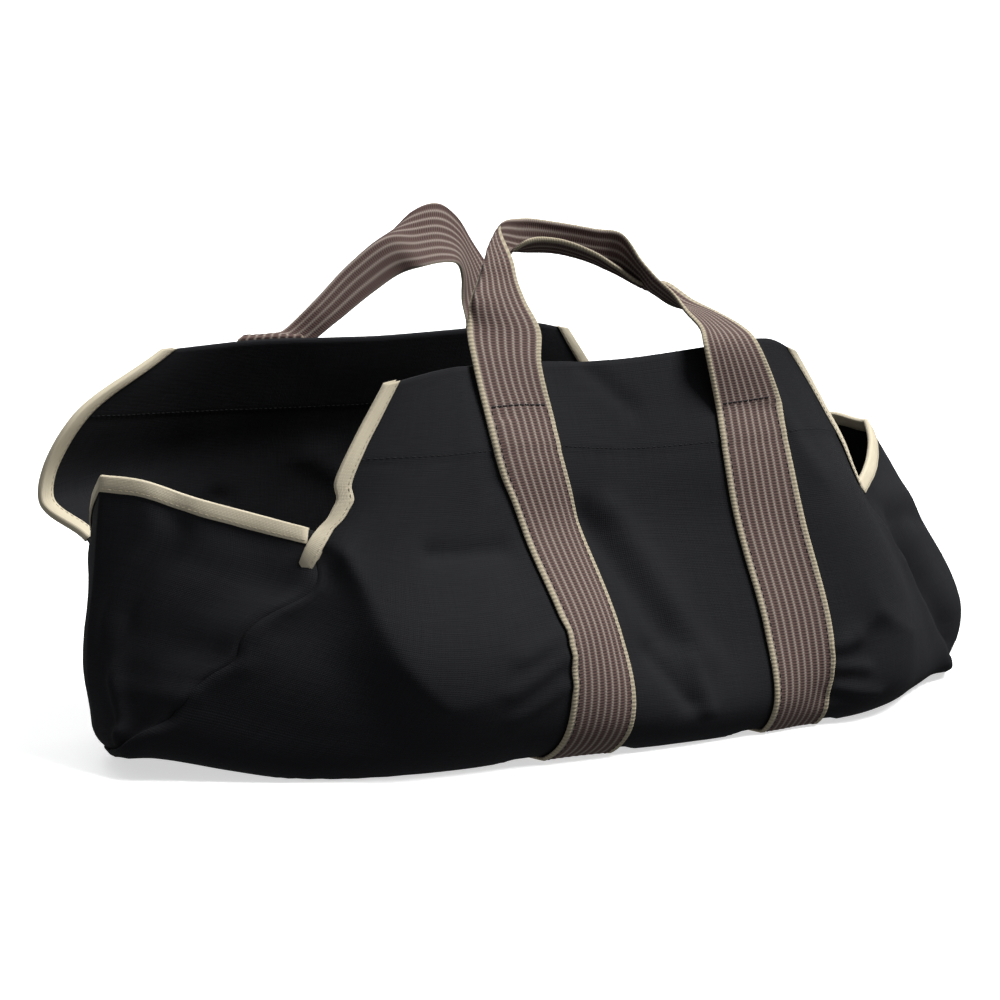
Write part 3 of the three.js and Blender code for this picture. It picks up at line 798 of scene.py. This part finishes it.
def stop_between(start, end, share):
    stop = {"edge": mix(start["edge"], end["edge"], share)}
    for way in ("into", "normal"):
        stop[way] = unit(mix(start[way], end[way], share))
    for face in ("front", "back"):
        stop[face] = mix(start[face], end[face], share)
    return stop


def side_stops(side, facing):
    """Stops along one slanted side edge of the main panel, from its top corner to the notch."""
    column = EDGE_COLUMN[side]
    notch = course_row(f"{facing} notch")
    rows = range(0, notch) if facing == "front" else range(LAST_ROW, notch, -1)
    stops = []
    for row in rows:
        edge = PANEL[row, column]
        into = unit(PANEL[row, column + INWARD[side]] - edge)
        stops.append(tape_stop(edge, into, PANEL_NORMALS[row, column], HEM_THICKNESS))
    first = dict(stops[0])
    first["edge"] = first["edge"] + unit(first["edge"] - stops[1]["edge"]) * TAPE_PAST_TOP
    return [first, *stops]


def lap_stops(last, middle):
    """Stops that carry the front left tape on from its last stop, over the end tape and past it."""
    corner = middle[0, 0]
    back = unit(middle[0, FINE] - corner)
    down = np.array([0.0, 0.0, -1.0])
    off = unit(np.cross(back, down))
    end = {
        "edge": corner + back * LAP["back"] + down * LAP["down"] + off * LAP["off"],
        "into": unit(down - back * LAP["slant"]),
        "normal": off,
        "front": LAP["half"],
        "back": LAP["half"],
    }
    stops = []
    for share in (0.2, 0.4, 0.6, 0.8, 1):
        stop = stop_between(last, end, share)
        stop["edge"] = stop["edge"] + stop["normal"] * LAP["arch"] * math.sin(math.pi * share)
        stops.append(stop)
    return stops


def end_stops(middle):
    """Stops along the top edge of an end panel, short of both seams."""
    normals = grid_normals(middle)
    stops = []
    for column in range(END_COLUMNS + 1):
        into = unit(middle[FINE, column] - middle[0, column])
        stops.append(tape_stop(middle[0, column], into, normals[0, column], CANVAS_THICKNESS))
    whole = math.ceil(END_TAPE_SHORT)
    past = 1 - (whole - END_TAPE_SHORT)
    first = stop_between(stops[whole - 1], stops[whole], past)
    last = stop_between(stops[-whole], stops[-whole - 1], past)
    return [first, *stops[whole:-whole], last]


def hem_run(facing, face):
    """Stitches along one hem, on the outside (1) or the inside (-1) of the main panel."""
    row = round(HEM_STITCH_COURSES[facing] * ROWS_PER_COURSE)
    normals = PANEL_NORMALS[row] * face
    line = PANEL[row] + normals * PANEL_THICKNESS[row] / 2
    sewn = slice(HEM_STITCH_INSET, -HEM_STITCH_INSET)
    return {"line": line[sewn], "normals": normals[sewn], **HEM_STITCH}


def one_stitch(line, normals, along, start, length, radius):
    """Rings of one thread that comes up through the cloth, runs on it and goes down again."""
    shares = np.array([0, 0.18, 0.5, 0.82, 1])
    rise = np.array([-0.9, 0.35, 0.6, 0.35, -0.9]) * radius
    places = start + shares * length
    middle = points_at(places, along, line)
    up = unit(points_at(places, along, normals))
    ahead = unit(np.gradient(middle, axis=0))
    side = unit(np.cross(up, ahead))
    turn = np.radians(np.arange(0, 360, 60))
    ring = np.cos(turn)[None, :, None] * side[:, None] + np.sin(turn)[None, :, None] * up[:, None]
    return (middle + up * rise[:, None])[:, None] + ring * radius


def stitching(name, runs, material):
    """All stitches of one thread as one piece."""
    points, faces, uv = [], [], []
    for run in runs:
        along = lengths_along(run["line"])
        step = run["length"] + run["gap"]
        for start in np.arange(run["gap"], along[-1] - run["length"], step):
            rings = one_stitch(run["line"], run["normals"], along, start, run["length"], run["radius"])
            count, sides = rings.shape[:2]
            faces += tube_faces(count, sides, len(points))
            points += rings.reshape(-1, 3).tolist()
            uv += [(side * STITCH_SIDE * MM, (start + ring) * MM)
                   for ring in range(count) for side in range(sides)]
    return make_object(name, points, faces, uv, material)


def link_node(tree, kind, inputs, **settings):
    """Adds a shader node, sets its properties and fills its inputs with sockets or values."""
    made = tree.nodes.new(kind)
    for name, value in settings.items():
        setattr(made, name, value)
    for place, value in inputs.items():
        if isinstance(value, bpy.types.NodeSocket):
            tree.links.new(value, made.inputs[place])
        else:
            made.inputs[place].default_value = value
    return made.outputs


def calc(tree, operation, first, second=0.0, third=0.0):
    return link_node(tree, "ShaderNodeMath", {0: first, 1: second, 2: third}, operation=operation)[0]


def blend_colour(tree, share, first, second):
    inputs = {0: share, 6: first, 7: second}
    return link_node(tree, "ShaderNodeMix", inputs, data_type="RGBA")[2]


def waves(tree, place, pitch, shift=0.0):
    """Rises from 0 to 1 and falls back once in each pitch along a cloth coordinate in metres."""
    turn = calc(tree, "MULTIPLY_ADD", place, 2 * math.pi / (pitch * MM), shift)
    return calc(tree, "MULTIPLY_ADD", calc(tree, "SINE", turn), 0.5, 0.5)


def threads(tree, across, along, pitch, length):
    """Uneven tone of single threads: a new value each pitch across, drifting over a length along."""
    scaled = link_node(tree, "ShaderNodeCombineXYZ", {
        0: calc(tree, "MULTIPLY", across, 1 / (pitch * MM)),
        1: calc(tree, "MULTIPLY", along, 1 / (length * MM)),
    })[0]
    return link_node(tree, "ShaderNodeTexNoise", {"Vector": scaled, "Scale": 1.0, "Detail": 1.0})[0]


def spots(tree, place, scale, detail):
    return link_node(tree, "ShaderNodeTexNoise", {"Vector": place, "Scale": scale, "Detail": detail})[0]


def new_material(name, roughness, specular):
    """A cloth material with its tree, its shader, both cloth coordinates and the place on the object."""
    material = bpy.data.materials.new(name)
    material.use_nodes = True
    tree = material.node_tree
    shader = tree.nodes["Principled BSDF"]
    shader.inputs["Roughness"].default_value = roughness
    shader.inputs["Specular IOR Level"].default_value = specular
    uv = link_node(tree, "ShaderNodeUVMap", {}, uv_map="cloth")[0]
    cloth = link_node(tree, "ShaderNodeSeparateXYZ", {0: uv})
    place = link_node(tree, "ShaderNodeTexCoord", {})["Object"]
    return material, tree, shader, cloth[0], cloth[1], place


def set_relief(tree, shader, height, depth, strength):
    inputs = {"Height": height, "Distance": depth * MM, "Strength": strength}
    bump = link_node(tree, "ShaderNodeBump", inputs)
    tree.links.new(bump[0], shader.inputs["Normal"])


def canvas_material():
    """Black plain weave with uneven threads, paler where it has been handled."""
    material, tree, shader, across, down, place = new_material("canvas", roughness=0.8, specular=0.07)
    warp = threads(tree, across, down, pitch=0.7, length=22)
    weft = threads(tree, down, across, pitch=0.7, length=22)
    checks = calc(tree, "MULTIPLY", waves(tree, across, 0.95), waves(tree, down, 0.95))
    handled = spots(tree, place, scale=14.0, detail=5.0)
    tone = calc(tree, "MULTIPLY_ADD", warp, 0.4, calc(tree, "MULTIPLY", weft, 0.4))
    tone = calc(tree, "MULTIPLY_ADD", handled, 0.35, calc(tree, "MULTIPLY_ADD", checks, 0.2, tone))
    colour = blend_colour(tree, tone, *COLOURS["canvas"])
    tree.links.new(colour, shader.inputs["Base Color"])
    height = calc(tree, "ADD", calc(tree, "ADD", warp, weft), checks)
    set_relief(tree, shader, height, depth=0.22, strength=0.55)
    return material


def binding_material():
    """Beige tape in a fine plain weave, slightly stained."""
    material, tree, shader, around, along, place = new_material("binding", roughness=0.86, specular=0.2)
    weave = calc(tree, "MULTIPLY", waves(tree, around, 0.8), waves(tree, along, 0.8))
    lengthwise = threads(tree, around, along, pitch=0.6, length=18)
    stains = spots(tree, place, scale=40.0, detail=4.0)
    tone = calc(tree, "MULTIPLY_ADD", stains, 0.6, calc(tree, "MULTIPLY", lengthwise, 0.4))
    tone = calc(tree, "MULTIPLY_ADD", weave, 0.25, calc(tree, "SUBTRACT", tone, 0.1))
    colour = blend_colour(tree, tone, *COLOURS["tape"])
    tree.links.new(colour, shader.inputs["Base Color"])
    height = calc(tree, "ADD", weave, calc(tree, "MULTIPLY_ADD", stains, 1.6, lengthwise))
    set_relief(tree, shader, height, depth=0.2, strength=0.55)
    return material


def webbing_material():
    """Mauve webbing: pale ribs of short dashes, a cross grain between them and beige corded edges."""
    material, tree, shader, across, along, place = new_material("webbing", roughness=0.86, specular=0.18)
    dash_pitch = 1.6
    wander = calc(tree, "MULTIPLY_ADD", waves(tree, along, dash_pitch), 0.5 * MM, across)
    ribs = calc(tree, "POWER", waves(tree, wander, WEB_RIB_PITCH, 1.2), 3.4)
    dashes = waves(tree, along, dash_pitch)
    grain = waves(tree, along, dash_pitch, math.pi)
    fuzz = spots(tree, place, scale=700.0, detail=2.0)
    wear = spots(tree, place, scale=35.0, detail=3.0)
    ground = blend_colour(tree, grain, *COLOURS["web_ground"])
    ground = blend_colour(tree, calc(tree, "MULTIPLY", wear, 0.3), ground, WEB_WORN)
    dashed = calc(tree, "MULTIPLY", ribs, calc(tree, "MULTIPLY_ADD", dashes, 0.55, 0.45))
    ribbed = blend_colour(tree, dashed, ground, WEB_PALE_RIB)
    whip = waves(tree, along, 2.2)
    cord = blend_colour(tree, whip, *COLOURS["web_cord"])
    cord = blend_colour(tree, calc(tree, "MULTIPLY", fuzz, 0.3), cord, CORD_FUZZ)
    inside = (STRAP_WIDTH / 2 - WEB_EDGE) * MM
    in_cord = calc(tree, "GREATER_THAN", calc(tree, "ABSOLUTE", across), inside)
    colour = blend_colour(tree, in_cord, ribbed, cord)
    tree.links.new(colour, shader.inputs["Base Color"])
    body_height = calc(tree, "MULTIPLY_ADD", dashed, 0.7, calc(tree, "MULTIPLY", grain, 0.45))
    cord_height = calc(tree, "MULTIPLY", calc(tree, "MULTIPLY", in_cord, whip), 0.6)
    rest = calc(tree, "MULTIPLY", calc(tree, "SUBTRACT", 1.0, in_cord), body_height)
    set_relief(tree, shader, calc(tree, "ADD", cord_height, rest), depth=0.4, strength=0.75)
    return material


def thread_material(name):
    """Twisted thread."""
    material, tree, shader, around, along, place = new_material(name, roughness=0.7, specular=0.25)
    twist = waves(tree, calc(tree, "ADD", around, along), 0.35)
    fuzz = spots(tree, place, scale=900.0, detail=2.0)
    colour = blend_colour(tree, calc(tree, "MULTIPLY", twist, fuzz), *COLOURS[name])
    tree.links.new(colour, shader.inputs["Base Color"])
    set_relief(tree, shader, twist, depth=0.05, strength=0.5)
    return material


def stage_object(name, points, faces, glow):
    material = bpy.data.materials.new(name)
    material.use_nodes = True
    shader = material.node_tree.nodes["Principled BSDF"]
    shader.inputs["Base Color"].default_value = STAGE_COLOUR
    shader.inputs["Roughness"].default_value = 0.95
    shader.inputs["Specular IOR Level"].default_value = 0.0
    shader.inputs["Emission Color"].default_value = (1, 1, 1, 1)
    shader.inputs["Emission Strength"].default_value = glow
    mesh = bpy.data.meshes.new(name)
    mesh.from_pydata(points, [], faces)
    mesh.materials.append(material)
    made = bpy.data.objects.new(name, mesh)
    bpy.context.scene.collection.objects.link(made)
    made.visible_diffuse = False
    made.visible_glossy = False


def far_off(azimuth, elevation):
    """Direction to a place round the object: azimuth 0 is the front, 90 the right."""
    turn, rise = math.radians(azimuth), math.radians(elevation)
    return Vector((math.sin(turn) * math.cos(rise), -math.cos(turn) * math.cos(rise), math.sin(rise)))


def stage():
    """Pale floor with a bright screen round it that cast no light back, soft lights and the camera."""
    sides = STAGE["sides"]
    turns = [2 * math.pi * step / sides for step in range(sides)]
    foot = [(STAGE["reach"] * math.cos(turn), STAGE["reach"] * math.sin(turn), 0) for turn in turns]
    top = [(x, y, STAGE["height"]) for x, y, _ in foot]
    stage_object("floor", foot, [list(range(sides))], STAGE["floor_glow"])
    wall = [[step, (step + 1) % sides, (step + 1) % sides + sides, step + sides] for step in range(sides)]
    stage_object("screen", foot + top, wall, STAGE["screen_glow"])

    world = bpy.data.worlds.new("studio")
    bpy.context.scene.world = world
    world.use_nodes = True
    background = world.node_tree.nodes["Background"]
    background.inputs["Color"].default_value = SKY["colour"]
    background.inputs["Strength"].default_value = SKY["strength"]

    for row in LIGHTS:
        data = bpy.data.lights.new(row["name"], "SUN")
        data.energy = row["strength"]
        data.angle = math.radians(row["width"])
        light = bpy.data.objects.new(row["name"], data)
        towards = far_off(row["azimuth"], row["elevation"])
        light.location = towards * LIGHT_DISTANCE
        light.rotation_euler = (-towards).to_track_quat("-Z", "Y").to_euler()
        bpy.context.scene.collection.objects.link(light)

    back = far_off(CAMERA["azimuth"], CAMERA["elevation"])
    turn = math.radians(CAMERA["azimuth"])
    right = Vector((math.cos(turn), math.sin(turn), 0))
    up = back.cross(right)
    place = right * CAMERA["aside"] + Vector((0, 0, CAMERA["height"])) + back * CAMERA["distance"]
    data = bpy.data.cameras.new("camera")
    data.lens = CAMERA["lens"]
    data.sensor_width = CAMERA["sensor"]
    camera = bpy.data.objects.new("camera", data)
    camera.matrix_world = Matrix.Translation(place * MM) @ Matrix((right, up, back)).transposed().to_4x4()
    bpy.context.scene.collection.objects.link(camera)
    bpy.context.scene.camera = camera
    bpy.context.scene.view_settings.view_transform = "Standard"


def place_piece(piece, node=None):
    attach(piece, "root")
    if node:
        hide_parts(node)


def main():
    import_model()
    stage()
    canvas = canvas_material()
    tape = binding_material()
    webbing = webbing_material()
    sling = main_panel(canvas)
    place_piece(sling, "main_panel")
    dark_runs = [hem_run(facing, face) for facing in ("front", "back") for face in (1, -1)]
    beige_runs = []
    for side in ("left", "right"):
        middle = end_middle(side)
        panel = end_panel(f"canvas_end_{side}", middle, canvas)
        place_piece(panel, f"end_panel_{side}")
        tapes = {f"end_{side}": (end_stops(middle), f"end_binding_{side}")}
        for facing in ("front", "back"):
            stops = side_stops(side, facing)
            if side == "left" and facing == "front":
                stops += lap_stops(stops[-1], middle)
            tapes[f"{facing}_{side}"] = (stops, f"edge_binding_{facing}_{side}")
        for name, (stops, node) in tapes.items():
            made, runs = binding(f"tape_{name}", stops, tape)
            place_piece(made, node)
            beige_runs += runs
    for facing, table in (("front", FRONT_HANDLE), ("back", BACK_HANDLE)):
        made, runs = strap(f"webbing_{facing}", table, facing, webbing)
        place_piece(made, f"strap_{facing}")
        dark_runs += runs
    black = thread_material("black_thread")
    beige = thread_material("beige_thread")
    place_piece(stitching("stitches_black", dark_runs, black))
    place_piece(stitching("stitches_beige", beige_runs, beige))


main()
